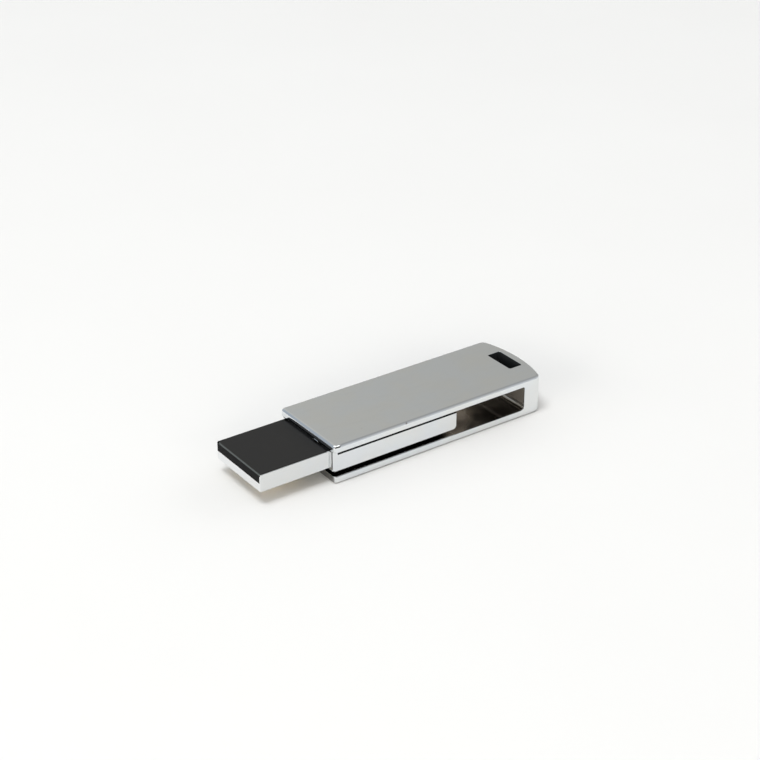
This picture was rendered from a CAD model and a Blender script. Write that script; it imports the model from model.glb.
import math

import bpy
from mathutils import Matrix, Vector


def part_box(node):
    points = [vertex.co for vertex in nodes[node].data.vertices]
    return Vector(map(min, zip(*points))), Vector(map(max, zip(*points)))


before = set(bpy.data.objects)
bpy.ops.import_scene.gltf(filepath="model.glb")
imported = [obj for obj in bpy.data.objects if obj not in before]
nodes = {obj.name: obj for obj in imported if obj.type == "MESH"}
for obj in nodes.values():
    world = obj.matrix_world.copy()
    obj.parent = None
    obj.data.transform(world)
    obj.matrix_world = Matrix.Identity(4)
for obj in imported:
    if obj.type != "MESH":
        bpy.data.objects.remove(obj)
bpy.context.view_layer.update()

scene = bpy.context.scene
scene.view_settings.view_transform = "Standard"
scene.view_settings.look = "None"
scene.view_settings.exposure = 0.0
scene.view_settings.gamma = 1.0

S_LO, S_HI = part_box("sleeve")          # metres, row frame
MM = 1000.0


# --------------------------------------------------------------- node helper
class Tree:
    """Short-hand for building a node tree."""

    def __init__(self, tree):
        self.t = tree
        self.n = tree.nodes
        self.l = tree.links

    def put(self, value, socket):
        if isinstance(value, bpy.types.NodeSocket):
            self.l.new(value, socket)
        elif value is not None:
            try:
                socket.default_value = value
            except TypeError:
                socket.default_value = (value, value, value)
            except ValueError:
                socket.default_value = tuple(value) + (1.0,)

    def math(self, op, a, b=None, c=None, clamp=False):
        n = self.n.new("ShaderNodeMath")
        n.operation = op
        n.use_clamp = clamp
        self.put(a, n.inputs[0])
        if b is not None:
            self.put(b, n.inputs[1])
        if c is not None:
            self.put(c, n.inputs[2])
        return n.outputs[0]

    def vec(self, op, a, b=None, scale=None):
        n = self.n.new("ShaderNodeVectorMath")
        n.operation = op
        self.put(a, n.inputs[0])
        if b is not None:
            self.put(b, n.inputs[1])
        if scale is not None:
            self.put(scale, n.inputs["Scale"])
        if op in ("DOT_PRODUCT", "LENGTH", "DISTANCE"):
            return n.outputs["Value"]
        return n.outputs["Vector"]

    def span(self, v, a, b, c=0.0, d=1.0, smooth=True):
        """v from a..b mapped to c..d, clamped."""
        n = self.n.new("ShaderNodeMapRange")
        n.interpolation_type = "SMOOTHSTEP" if smooth else "LINEAR"
        n.clamp = True
        self.put(v, n.inputs["Value"])
        for k, x in zip(("From Min", "From Max", "To Min", "To Max"),
                        (a, b, c, d)):
            self.put(x, n.inputs[k])
        return n.outputs["Result"]

    def mix(self, fac, a, b):
        n = self.n.new("ShaderNodeMix")
        n.data_type = "RGBA"
        n.clamp_factor = True
        self.put(fac, n.inputs[0])
        for x, s in ((a, n.inputs[6]), (b, n.inputs[7])):
            if isinstance(x, (tuple, list)):
                s.default_value = (x[0], x[1], x[2], 1.0)
            else:
                self.put(x, s)
        return n.outputs[2]

    def xyz(self, v):
        n = self.n.new("ShaderNodeSeparateXYZ")
        self.put(v, n.inputs[0])
        return n.outputs[0], n.outputs[1], n.outputs[2]

    def join(self, x, y, z):
        n = self.n.new("ShaderNodeCombineXYZ")
        for v, s in zip((x, y, z), n.inputs):
            self.put(v, s)
        return n.outputs[0]

    def mapping(self, v, scale=(1, 1, 1), rot=(0, 0, 0), loc=(0, 0, 0)):
        n = self.n.new("ShaderNodeMapping")
        self.put(v, n.inputs["Vector"])
        n.inputs["Scale"].default_value = scale
        n.inputs["Rotation"].default_value = rot
        n.inputs["Location"].default_value = loc
        return n.outputs[0]

    def noise(self, v, scale, detail=2.0, rough=0.5, distort=0.0):
        n = self.n.new("ShaderNodeTexNoise")
        self.put(v, n.inputs["Vector"])
        n.inputs["Scale"].default_value = scale
        n.inputs["Detail"].default_value = detail
        n.inputs["Roughness"].default_value = rough
        n.inputs["Distortion"].default_value = distort
        return n.outputs[0]

    def voronoi(self, v, scale, feature="F1"):
        n = self.n.new("ShaderNodeTexVoronoi")
        n.feature = feature
        self.put(v, n.inputs["Vector"])
        n.inputs["Scale"].default_value = scale
        return n.outputs["Distance"]

    def bump(self, height, dist, strength=1.0, normal=None):
        n = self.n.new("ShaderNodeBump")
        n.inputs["Strength"].default_value = strength
        n.inputs["Distance"].default_value = dist
        self.put(height, n.inputs["Height"])
        if normal is not None:
            self.l.new(normal, n.inputs["Normal"])
        return n.outputs[0]

    def mm(self):
        """Object coordinates in millimetres, in the row frame at rest."""
        c = self.n.new("ShaderNodeTexCoord")
        return self.vec("SCALE", c.outputs["Object"], scale=MM)

    def normal(self):
        return self.n.new("ShaderNodeNewGeometry").outputs["Normal"]

    def edge(self, radius_mm, samples=4):
        """0 on flats, towards 1 on edges tighter than the radius."""
        b = self.n.new("ShaderNodeBevel")
        b.samples = samples
        b.inputs["Radius"].default_value = radius_mm / MM
        g = self.n.new("ShaderNodeNewGeometry")
        d = self.vec("DOT_PRODUCT", b.outputs[0], g.outputs["Normal"])
        return self.span(d, 0.995, 0.86, 0.0, 1.0)

    def scratches(self, p, angles, freq=9.0, stretch=0.05, cut=0.70):
        """Fine straight hairlines in several directions, 0..1."""
        total = None
        for i, a in enumerate(angles):
            q = self.mapping(p, scale=(stretch, 1.0, 1.0),
                             rot=(0.0, 0.0, math.radians(a)),
                             loc=(3.1 * i, 7.7 * i, 1.3 * i))
            # Mapping turns after it scales, so turn first with a second node
            q = self.mapping(self.mapping(p, rot=(0, 0, math.radians(a))),
                             scale=(stretch, 1.0, 0.6),
                             loc=(3.1 * i, 7.7 * i, 1.3 * i))
            s = self.span(self.noise(q, freq, 1.0, 0.4), cut, cut + 0.09)
            total = s if total is None else self.math("MAXIMUM", total, s)
        return total


def material(name):
    m = bpy.data.materials.new(name)
    m.use_nodes = True
    t = Tree(m.node_tree)
    bsdf = next(n for n in t.n if n.type == "BSDF_PRINCIPLED")
    return m, t, bsdf


def dress(name, *node_names):
    for n in node_names:
        o = nodes[n]
        if not o.material_slots:
            o.data.materials.append(None)
        for s in o.material_slots:
            s.link = "OBJECT"
            s.material = name


# ---------------------------------------------------------------- materials
def chrome(name, base, rough, inner=False, nicks=(), seam=False, peel=1.0):
    """Bright plate: a faint orange-peel ripple, wiping hairlines, smudges and
    tiny pits. Inside the sleeve the plate is thin, so it darkens and hazes.
    The open seams of the tray's folded corners are dark."""
    m, t, b = material(name)
    p = t.mm()
    cloud = t.noise(p, 0.16, 3.0, 0.55)
    smear = t.noise(t.mapping(p, scale=(0.25, 1.0, 1.0)), 0.9, 4.0, 0.6)
    fine = t.noise(p, 5.5, 3.0, 0.6)
    lines = t.scratches(p, (8, -21, 63, 100), 7.0, 0.035, 0.71)
    pits = t.span(t.voronoi(p, 0.55), 0.045, 0.025)
    pits = t.math("MULTIPLY", pits, t.span(cloud, 0.56, 0.62))
    warm = tuple(x * y for x, y in zip(base, (1.0, 0.992, 0.972)))
    cool = tuple(x * y for x, y in zip(base, (0.982, 0.995, 1.012)))
    colour = t.mix(t.span(cloud, 0.35, 0.65), cool, warm)
    colour = t.mix(t.math("MULTIPLY", t.span(smear, 0.45, 0.75), 0.10),
                   colour, tuple(0.86 * x for x in base))
    r = t.math("ADD", rough, t.math("MULTIPLY", t.span(smear, 0.35, 0.8),
                                    0.55 * rough))
    r = t.math("ADD", r, t.math("MULTIPLY", lines, 0.10))
    r = t.math("ADD", r, t.math("MULTIPLY", fine, 0.25 * rough))
    if inner:
        x, y, z = t.xyz(p)
        fy = t.span(t.math("ABSOLUTE", y), 7.23, 7.08)
        fz = t.math("MULTIPLY", t.span(z, 1.05, 1.11), t.span(z, 5.43, 5.37))
        fx = t.math("MULTIPLY", t.span(x, -19.85, -19.6),
                    t.span(x, 15.62, 15.56))
        inside = t.math("MULTIPLY", t.math("MULTIPLY", fx, fy), fz)
        mott = t.noise(p, 0.8, 4.0, 0.6)
        dull = t.mix(mott, INNER_A, INNER_B)
        # the rear wall of the opening is a little brighter
        wall = t.math("MULTIPLY", t.span(x, 14.95, 15.3),
                      t.span(z, 1.5, 2.2))
        deep = t.math("MULTIPLY", t.span(x, 1.5, 6.5, 0.0, 0.55),
                      t.span(z, 1.9, 1.4))
        dull = t.mix(deep, dull, (0.03, 0.03, 0.03))
        # the floor is satin under the carriage's end and dark at the back
        satin = t.math("MULTIPLY", t.span(x, 11.0, 6.5),
                       t.span(z, 1.9, 1.4))
        satin = t.math("MULTIPLY", satin, t.span(x, -0.2, 2.6))
        rim = t.math("SUBTRACT", x, t.math("MULTIPLY",
                                           t.math("ADD", y, 6.0), 1.2))
        satin = t.math("MULTIPLY", satin, t.span(rim, 4.6, 6.6, 1.0, 0.38))
        dull = t.mix(satin, dull, (0.42, 0.365, 0.305))
        back_end = t.math("MULTIPLY", t.span(x, 12.0, 13.3, 0.0, 0.45),
                          t.span(z, 1.9, 1.4))
        dull = t.mix(back_end, dull, (0.03, 0.03, 0.03))
        dull = t.mix(wall, dull, (0.44, 0.400, 0.355))
        cove = t.math("MULTIPLY", t.span(x, 14.75, 14.95),
                      t.math("MULTIPLY", t.span(z, 1.10, 1.16),
                             t.span(z, 2.1, 1.7)))
        dull = t.mix(cove, dull, (0.50, 0.47, 0.42))
        colour = t.mix(inside, colour, dull)
        r = t.math("ADD", r, t.math("MULTIPLY", inside,
                                    t.span(mott, 0.3, 0.7, 0.01, 0.06)))
        # the lanyard slot's walls are unplated and dark
        sx = t.math("MULTIPLY", t.span(x, 16.02, 16.06),
                    t.span(x, 18.60, 18.56))
        sy = t.span(t.math("ABSOLUTE", y), 2.90, 2.86)
        sz = t.math("MULTIPLY", t.span(z, 0.03, 0.08), t.span(z, 6.24, 6.19))
        slot = t.math("MULTIPLY", t.math("MULTIPLY", sx, sy), sz)
        colour = t.mix(slot, colour, t.mix(mott, (0.012, 0.014, 0.015),
                                           (0.020, 0.022, 0.023)))
        r = t.math("ADD", r, t.math("MULTIPLY", slot, 0.30))
        thin = t.math("ADD", t.math("MULTIPLY", wall, 0.30),
                      t.math("MULTIPLY", satin, 0.35))
        t.put(t.math("SUBTRACT", 1.0, t.math(
            "ADD", slot, t.math("MULTIPLY", thin, inside)), clamp=True),
            b.inputs["Metallic"])
        # handling grime collects under the bottom edge
        nx, ny, nz = t.xyz(t.normal())
        low = t.math("MULTIPLY", t.span(nz, -0.12, -0.55),
                     t.span(z, 0.40, 0.25))
        toe = t.math("MULTIPLY", t.span(nx, -0.75, -0.95),
                     t.span(z, 1.6, 1.3))
        low = t.math("MAXIMUM", low, toe)
        colour = t.mix(t.math("MULTIPLY", low, 0.80), colour,
                       (0.17, 0.162, 0.155))
        # seen from straight above, the top mirrors the viewer, not the room
        turn = t.n.new("ShaderNodeVectorTransform")
        turn.vector_type = "VECTOR"
        turn.convert_from, turn.convert_to = "WORLD", "CAMERA"
        turn.inputs[0].default_value = (0.0, 0.0, 1.0)
        _, _, tilt = t.xyz(turn.outputs[0])
        steep = t.span(t.math("ABSOLUTE", tilt), 0.90, 0.97)
        steep = t.math("MULTIPLY", steep, t.span(nz, 0.97, 0.995))
        steep = t.math("MULTIPLY", steep, t.span(z, 5.9, 6.1))
        colour = t.mix(t.math("MULTIPLY", steep, 0.58), colour, (0, 0, 0))
    if seam:
        x, y, z = t.xyz(p)
        # the plug's long sides are rubbed a little duller than its end
        nx, ny, nz = t.xyz(t.normal())
        rub = t.math("MULTIPLY", t.span(t.math("ABSOLUTE", ny), 0.6, 0.9),
                     t.span(x, -20.0, -20.3))
        colour = t.mix(t.math("MULTIPLY", rub, 0.05), colour, (0, 0, 0))
        tip = t.span(nx, -0.6, -0.9)
        colour = t.mix(t.math("MULTIPLY", tip, 0.55), colour,
                       (0.90, 0.905, 0.91))
        ax = t.math("ADD", x, 19.95)
        ay = t.math("SUBTRACT", 6.6, t.math("ABSOLUTE", y))
        gap = t.math("ABSOLUTE", t.math("SUBTRACT", ax, ay))
        k = t.math("MULTIPLY", t.span(gap, 0.115, 0.085),
                   t.span(ax, 0.40, 0.36))
        k = t.math("MULTIPLY", k, t.span(z, 2.05, 2.15))
        k = t.math("MULTIPLY", k, t.span(ay, -0.05, -0.02))
        colour = t.mix(k, colour, (0.030, 0.030, 0.032))
        r = t.math("ADD", r, t.math("MULTIPLY", k, 0.5))
    height = t.math("ADD", t.math("MULTIPLY", t.noise(p, 0.55, 2.0, 0.5),
                                  1.0 * peel),
                    t.math("MULTIPLY", fine, 0.045))
    height = t.math("SUBTRACT", height, t.math("MULTIPLY", lines, 0.03))
    height = t.math("SUBTRACT", height, t.math("MULTIPLY", pits, 0.6))
    for cx, cy, cz, rr, depth in nicks:
        q = t.vec("DISTANCE", p, (cx, cy, cz))
        q = t.math("ADD", q, t.math("MULTIPLY",
                                    t.math("SUBTRACT", fine, 0.5), 0.25 * rr))
        d = t.span(q, rr, 0.35 * rr)
        height = t.math("SUBTRACT", height, t.math("MULTIPLY", d, depth))
        colour = t.mix(t.math("MULTIPLY", d, 0.8), colour,
                       (0.16, 0.13, 0.11))
        r = t.math("ADD", r, t.math("MULTIPLY", d, 0.3))
    t.put(colour, b.inputs["Base Color"])
    if not inner:
        b.inputs["Metallic"].default_value = 1.0
    t.put(r, b.inputs["Roughness"])
    bent = None
    if inner:
        # polishing rolled the long edges off towards the open end
        roll = t.math("MULTIPLY", t.span(x, -18.3, -19.5),
                      t.span(nz, 0.10, 0.25))
        roll = t.math("MULTIPLY", roll, t.span(nz, 0.96, 0.85))
        roll = t.math("MULTIPLY", roll, t.span(z, 5.6, 5.75))
        roll = t.math("MULTIPLY", roll, t.span(nx, -0.50, -0.08))
        lean = t.join(t.math("MULTIPLY", roll, -0.52), 0.0, 0.0)
        bent = t.vec("NORMALIZE", t.vec("ADD", t.normal(), lean))
    t.put(t.bump(height, 6e-6, normal=bent), b.inputs["Normal"])
    return m


def black_plastic():
    """Fine spark-eroded moulding with polished edges and light scuffs."""
    m, t, b = material("moulded_black")
    p = t.mm()
    cloud = t.noise(p, 0.22, 3.0, 0.55)
    grain = t.noise(p, 22.0, 2.0, 0.7)
    pores = t.voronoi(p, 14.0)
    lines = t.scratches(p, (2, -6, 11, 88), 6.0, 0.03, 0.70)
    nx, ny, nz = t.xyz(t.normal())
    edge = t.math("MULTIPLY", t.span(t.math("MULTIPLY", nx, -1.0), 0.15, 0.45),
                  t.span(nz, 0.10, 0.40))
    front = t.span(t.math("MULTIPLY", nx, -1.0), 0.90, 0.97)
    colour = t.mix(cloud, (0.0095, 0.0095, 0.0103), (0.0138, 0.0135, 0.0130))
    colour = t.mix(t.math("MULTIPLY", lines, 0.10), colour,
                   (0.040, 0.040, 0.041))
    colour = t.mix(t.math("MULTIPLY", front, 0.4), colour,
                   (0.004, 0.004, 0.005))
    colour = t.mix(t.math("MULTIPLY", edge, 0.80), colour,
                   (0.078, 0.088, 0.086))
    r = t.math("ADD", 0.44, t.math("MULTIPLY", cloud, 0.10))
    r = t.math("SUBTRACT", r, t.math("MULTIPLY", edge, 0.16))
    r = t.math("ADD", r, t.math("MULTIPLY", grain, 0.06))
    h = t.math("ADD", t.math("MULTIPLY", grain, 0.6),
               t.math("MULTIPLY", pores, 0.5))
    h = t.math("SUBTRACT", h, t.math("MULTIPLY", lines, 0.15))
    t.put(colour, b.inputs["Base Color"])
    t.put(r, b.inputs["Roughness"])
    t.put(t.span(front, 0.0, 1.0, 0.27, 0.03), b.inputs["Specular IOR Level"])
    t.put(t.bump(h, 4e-6), b.inputs["Normal"])
    return m


def steel(name, base, rough, turned=None):
    """Satin steel, rolled along X or turned about a centre."""
    m, t, b = material(name)
    p = t.mm()
    if turned:
        x, y, z = t.xyz(t.vec("SUBTRACT", p, turned))
        rad = t.math("SQRT", t.math("ADD", t.math("MULTIPLY", x, x),
                                    t.math("MULTIPLY", y, y)))
        q = t.join(rad, 0.0, t.math("MULTIPLY", z, 0.4))
        grain = t.noise(q, 24.0, 2.0, 0.6)
    else:
        grain = t.noise(t.mapping(p, scale=(0.06, 1, 1)), 26.0, 3.0, 0.6)
    cloud = t.noise(p, 0.7, 3.0, 0.6)
    colour = t.mix(grain, tuple(0.86 * x for x in base), base)
    colour = t.mix(t.span(cloud, 0.55, 0.8, 0.0, 0.25), colour,
                   (0.30, 0.26, 0.21))
    r = t.math("ADD", rough, t.math("MULTIPLY", grain, 0.14))
    t.put(colour, b.inputs["Base Color"])
    b.inputs["Metallic"].default_value = 1.0
    t.put(r, b.inputs["Roughness"])
    t.put(t.bump(grain, 3e-6), b.inputs["Normal"])
    return m


def gold_contacts():
    """Hard gold over nickel, with the wiping tracks of past insertions."""
    m, t, b = material("contact_gold")
    p = t.mm()
    x, y, z = t.xyz(p)
    grain = t.noise(t.mapping(p, scale=(0.08, 1, 1)), 22.0, 3.0, 0.6)
    cloud = t.noise(p, 0.8, 3.0, 0.6)
    # one shallow track along the middle of each pad
    track = None
    for c in (3.5, 1.0, -1.0, -3.5):
        w = t.math("ADD", t.math("ABSOLUTE", t.math("SUBTRACT", y, c)),
                   t.math("MULTIPLY", t.math("SUBTRACT", cloud, 0.5), 0.18))
        k = t.span(w, 0.42, 0.26)
        track = k if track is None else t.math("MAXIMUM", track, k)
    track = t.math("MULTIPLY", track, t.span(x, -24.2, -25.0))
    colour = t.mix(grain, (0.86, 0.60, 0.24), (0.95, 0.72, 0.33))
    colour = t.mix(t.math("MULTIPLY", track, t.span(grain, 0.4, 0.7,
                                                    0.25, 0.7)),
                   colour, (0.78, 0.66, 0.46))
    r = t.math("ADD", 0.19, t.math("MULTIPLY", cloud, 0.14))
    r = t.math("ADD", r, t.math("MULTIPLY", track, 0.09))
    h = t.math("SUBTRACT", t.math("MULTIPLY", grain, 0.5),
               t.math("MULTIPLY", track, 0.8))
    t.put(colour, b.inputs["Base Color"])
    b.inputs["Metallic"].default_value = 1.0
    t.put(r, b.inputs["Roughness"])
    t.put(t.bump(h, 4e-6), b.inputs["Normal"])
    return m


def circuit_board():
    """Dark green resist over faint copper tracks and glass weave."""
    m, t, b = material("circuit_board")
    p = t.mm()
    x, y, z = t.xyz(p)
    wx = t.math("SINE", t.math("MULTIPLY", x, 2 * math.pi / 0.42))
    wy = t.math("SINE", t.math("MULTIPLY", y, 2 * math.pi / 0.42))
    weave = t.math("MULTIPLY_ADD", t.math("MULTIPLY", wx, wy), 0.5, 0.5)
    # tracks: bundles that run to the rear and step sideways
    step = t.math("MULTIPLY", t.span(x, -24.6, -22.4, 0, 1, False), 0.9)
    yy = t.math("ADD", t.math("ABSOLUTE", y), step)
    saw = t.math("ABSOLUTE", t.math("SUBTRACT", t.math(
        "FRACT", t.math("MULTIPLY", yy, 1.7)), 0.5))
    trk = t.math("MULTIPLY", t.span(saw, 0.17, 0.12),
                 t.span(x, -30.2, -29.8))
    cloud = t.noise(p, 0.6, 3.0, 0.6)
    colour = t.mix(weave, (0.006, 0.030, 0.018), (0.009, 0.038, 0.023))
    colour = t.mix(t.math("MULTIPLY", trk, 0.75), colour,
                   (0.020, 0.085, 0.045))
    r = t.math("ADD", 0.26, t.math("MULTIPLY", cloud, 0.16))
    h = t.math("ADD", t.math("MULTIPLY", weave, 0.12), trk)
    t.put(colour, b.inputs["Base Color"])
    t.put(r, b.inputs["Roughness"])
    t.put(t.bump(h, 8e-6), b.inputs["Normal"])
    return m


def plain(name, a, c, rough, scale=6.0, metal=0.0, dist=4e-6, stretch=1.0):
    """Granular two-tone stuff for the sealed parts."""
    m, t, b = material(name)
    p = t.mapping(t.mm(), scale=(stretch, 1, 1))
    g = t.noise(p, scale, 4.0, 0.6)
    t.put(t.mix(t.span(g, 0.3, 0.7), a, c), b.inputs["Base Color"])
    b.inputs["Metallic"].default_value = metal
    t.put(t.math("ADD", rough, t.math("MULTIPLY", g, 0.15)),
          b.inputs["Roughness"])
    t.put(t.bump(g, dist), b.inputs["Normal"])
    return m


INNER_A, INNER_B = (0.29, 0.270, 0.245), (0.35, 0.328, 0.300)
plate = chrome("chrome_plate", (0.780, 0.800, 0.812), 0.055, inner=True,
               nicks=((-7.03, -7.20, 6.05, 0.20, 3.0),
                      (-13.5, -4.9, 6.25, 0.09, 1.5)))
sheet = chrome("chrome_sheet", (0.770, 0.788, 0.801), 0.075, peel=1.6,
               seam=True)
dress(plate, "sleeve")
dress(sheet, "carriage_tray", "carriage_cover", "connector_shell")
dress(black_plastic(), "tongue_cover", "inner_frame")
pin_x = (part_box("stop_pin")[0].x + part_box("stop_pin")[1].x) / 2 * MM
dress(steel("pin_steel", (0.60, 0.59, 0.575), 0.20, (pin_x, 0.0, 0.0)),
      "stop_pin")
dress(steel("rivet_steel", (0.60, 0.59, 0.575), 0.24), "spring_rivets")
dress(steel("spring_steel", (0.50, 0.49, 0.47), 0.26), "detent_spring")
dress(gold_contacts(), "usb_contacts")
dress(circuit_board(), "module_substrate")
dress(plain("mould_resin", (0.012, 0.012, 0.013), (0.022, 0.022, 0.022),
            0.55, 9.0), "module_encapsulant")
dress(plain("silicon", (0.10, 0.105, 0.125), (0.20, 0.205, 0.225), 0.12, 1.2,
            0.6), "controller_die", "memory_die_stack")
dress(plain("die_film", (0.55, 0.42, 0.20), (0.66, 0.54, 0.30), 0.5, 4.0),
      "die_attach_film")
dress(plain("wire_gold", (0.84, 0.58, 0.22), (0.93, 0.70, 0.32), 0.15, 8.0,
            1.0), "bond_wires")
dress(plain("capacitor_ceramic", (0.30, 0.19, 0.10), (0.42, 0.29, 0.17), 0.45,
            12.0), "chip_capacitors")
dress(plain("resistor_ceramic", (0.03, 0.03, 0.032), (0.06, 0.06, 0.065),
            0.35, 12.0), "chip_resistors")
dress(plain("crystal_can", (0.60, 0.59, 0.55), (0.70, 0.69, 0.65), 0.22, 9.0,
            1.0, stretch=0.1), "crystal_oscillator")
dress(plain("adhesive_tape", (0.62, 0.60, 0.54), (0.74, 0.72, 0.66), 0.75,
            7.0, dist=2e-5), "adhesive_pad")

# ------------------------------------------------------------------- stage
bpy.ops.mesh.primitive_circle_add(vertices=96, radius=3.0, fill_type="NGON",
                                  location=(0, 0, 0))
floor = bpy.context.object
floor.name = "stage_floor"
fm, ft, fb = material("stage_floor")
fp = ft.mm()
fx, fy, _ = ft.xyz(fp)
fr = ft.math("SQRT", ft.math("ADD", ft.math("MULTIPLY", fx, fx),
                             ft.math("MULTIPLY", fy, fy)))
paper = ft.noise(fp, 0.02, 3.0, 0.5)
ft.put(ft.mix(paper, (0.829, 0.827, 0.822), (0.854, 0.853, 0.849)),
       fb.inputs["Base Color"])
fb.inputs["Roughness"].default_value = 0.85
fb.inputs["Specular IOR Level"].default_value = 0.15
ft.put(ft.bump(ft.noise(fp, 1.2, 4.0, 0.6), 2e-5), fb.inputs["Normal"])
clear = ft.n.new("ShaderNodeBsdfTransparent")
fade = ft.n.new("ShaderNodeMixShader")
out = next(n for n in ft.n if n.type == "OUTPUT_MATERIAL")
ft.put(ft.span(fr, 240.0, 560.0), fade.inputs[0])
ft.l.new(fb.outputs[0], fade.inputs[1])
ft.l.new(clear.outputs[0], fade.inputs[2])
ft.l.new(fade.outputs[0], out.inputs["Surface"])
floor.data.materials.append(fm)

# The room: grey on the far side, bright from the near left and overhead, dim
# behind the camera.
AZ, EL = math.radians(-35.274), math.radians(28.153)
back = Vector((math.sin(AZ) * math.cos(EL), -math.cos(AZ) * math.cos(EL),
               math.sin(EL)))
right = Vector((math.cos(AZ), math.sin(AZ), 0.0))
up = back.cross(right)

world = bpy.data.worlds.new("studio")
scene.world = world
world.use_nodes = True
w = Tree(world.node_tree)
bg = next(n for n in w.n if n.type == "BACKGROUND")
tc = w.n.new("ShaderNodeTexCoord")
d = w.vec("NORMALIZE", tc.outputs["Generated"])
dx, dy, dz = w.xyz(d)


def lobe(axis, inner, outer):
    a = Vector(axis).normalized()
    c = w.vec("DOT_PRODUCT", d, tuple(a))
    return w.span(c, math.cos(math.radians(outer)),
                  math.cos(math.radians(inner)))


left = w.span(dx, 0.05, -0.32)
near = w.span(dy, 0.05, -0.30)
far_v = w.span(dx, 0.30, 0.75, 0.580, 0.385, False)
sky = w.vec("SCALE", (1.019, 1.012, 0.969), scale=far_v)
low = w.math("MULTIPLY", left, w.math("SUBTRACT", 1.0, near))
sky = w.mix(low, sky, (0.435, 0.480, 0.535))
side_v = w.span(dz, 0.0, 0.86, 0.80, 0.42, False)
sky = w.mix(w.math("MULTIPLY", near, w.math("SUBTRACT", 1.0, left)), sky,
            w.vec("SCALE", (0.98, 1.0, 1.03), scale=side_v))
sky = w.mix(lobe((0.50, 0.02, 0.86), 8, 30), sky, (0.385, 0.385, 0.385))
sky = w.mix(w.math("MULTIPLY", near, left), sky, (1.76, 1.70, 1.60))
sky = w.mix(lobe((-0.12, 0.02, 0.99), 10, 24), sky, (2.0, 2.0, 2.0))
cx = w.math("ABSOLUTE", w.vec("DOT_PRODUCT", d, tuple(right)))
behind = w.vec("DOT_PRODUCT", d, (back.x, back.y, 0.0))
dark = w.math("MULTIPLY", w.span(cx, 0.62, 0.42), w.span(behind, 0.05, 0.25))
dark = w.math("MULTIPLY", dark, w.math("MULTIPLY", w.span(dz, 0.02, 0.12),
                                       w.span(dz, 0.84, 0.74)))
sky = w.mix(w.math("MULTIPLY", dark, 0.97), sky, (0.030, 0.030, 0.034))
# a softbox that only the plate mirrors
lp = w.n.new("ShaderNodeLightPath")
box = w.math("MULTIPLY", lobe((-0.42, 0.50, 1.25), 14, 20),
             lp.outputs["Is Glossy Ray"])
sky = w.mix(box, sky, (1.99, 2.02, 2.04))
# the room mostly shows in the plate; the lamps light the table
sky = w.vec("SCALE", sky, scale=w.math(
    "SUBTRACT", 1.0, w.math("MULTIPLY", lp.outputs["Is Diffuse Ray"], 0.25)))
# the backdrop itself is plain and pale
sky = w.mix(lp.outputs["Is Camera Ray"], sky, (0.935, 0.935, 0.928))
w.l.new(sky, bg.inputs["Color"])
bg.inputs["Strength"].default_value = 1.0


def area(name, loc, target, size, power, colour):
    ld = bpy.data.lights.new(name, "AREA")
    ld.shape = "RECTANGLE"
    ld.size, ld.size_y = size
    ld.energy = power
    ld.color = colour
    o = bpy.data.objects.new(name, ld)
    scene.collection.objects.link(o)
    o.location = loc
    o.rotation_mode = "QUATERNION"
    o.rotation_quaternion = (Vector(loc) - Vector(target)).to_track_quat(
        "Z", "Y")
    return o


key = area("key_softbox", (-0.41, -0.02, 1.32), (0, 0, 0), (0.5, 0.5), 7.0,
           (0.965, 0.988, 1.0))
key.visible_glossy = False
# broad low fills that light the table but aren't mirrored in the plate
for name, loc, size, power, tint in (
        ("fill_near", (-0.35, -1.10, 0.36), (1.4, 0.35), 5.0,
         (1.0, 0.955, 0.87)),
        ("fill_corner", (-0.90, -0.72, 0.36), (1.0, 0.35), 3.6,
         (1.0, 0.965, 0.90)),
        ("fill_left", (-1.15, 0.10, 0.36), (1.4, 0.35), 6.2,
         (1.0, 0.97, 0.92)),
        ("fill_far", (0.10, 1.15, 0.50), (1.4, 0.6), 1.2,
         (1.0, 1.0, 1.0)),
        ("fill_right", (1.15, 0.10, 0.50), (1.2, 0.6), 3.2,
         (1.0, 1.0, 1.0))):
    lamp = area(name, loc, (0, 0, 0), size, power, tint)
    lamp.visible_glossy = False
    lamp.visible_camera = False

# ------------------------------------------------------------------ camera
cam_data = bpy.data.cameras.new("camera")
cam = bpy.data.objects.new("camera", cam_data)
scene.collection.objects.link(cam)
cam_data.sensor_fit = "HORIZONTAL"
cam_data.sensor_width = 36.0
cam_data.lens = 88.752
cam_data.clip_start = 0.01
cam_data.clip_end = 20.0
m = Matrix.Identity(4)
m.col[0][:3] = right
m.col[1][:3] = up
m.col[2][:3] = back
m.col[3][:3] = (-0.149834, -0.202315, 0.142693)
cam.matrix_world = m
scene.camera = cam
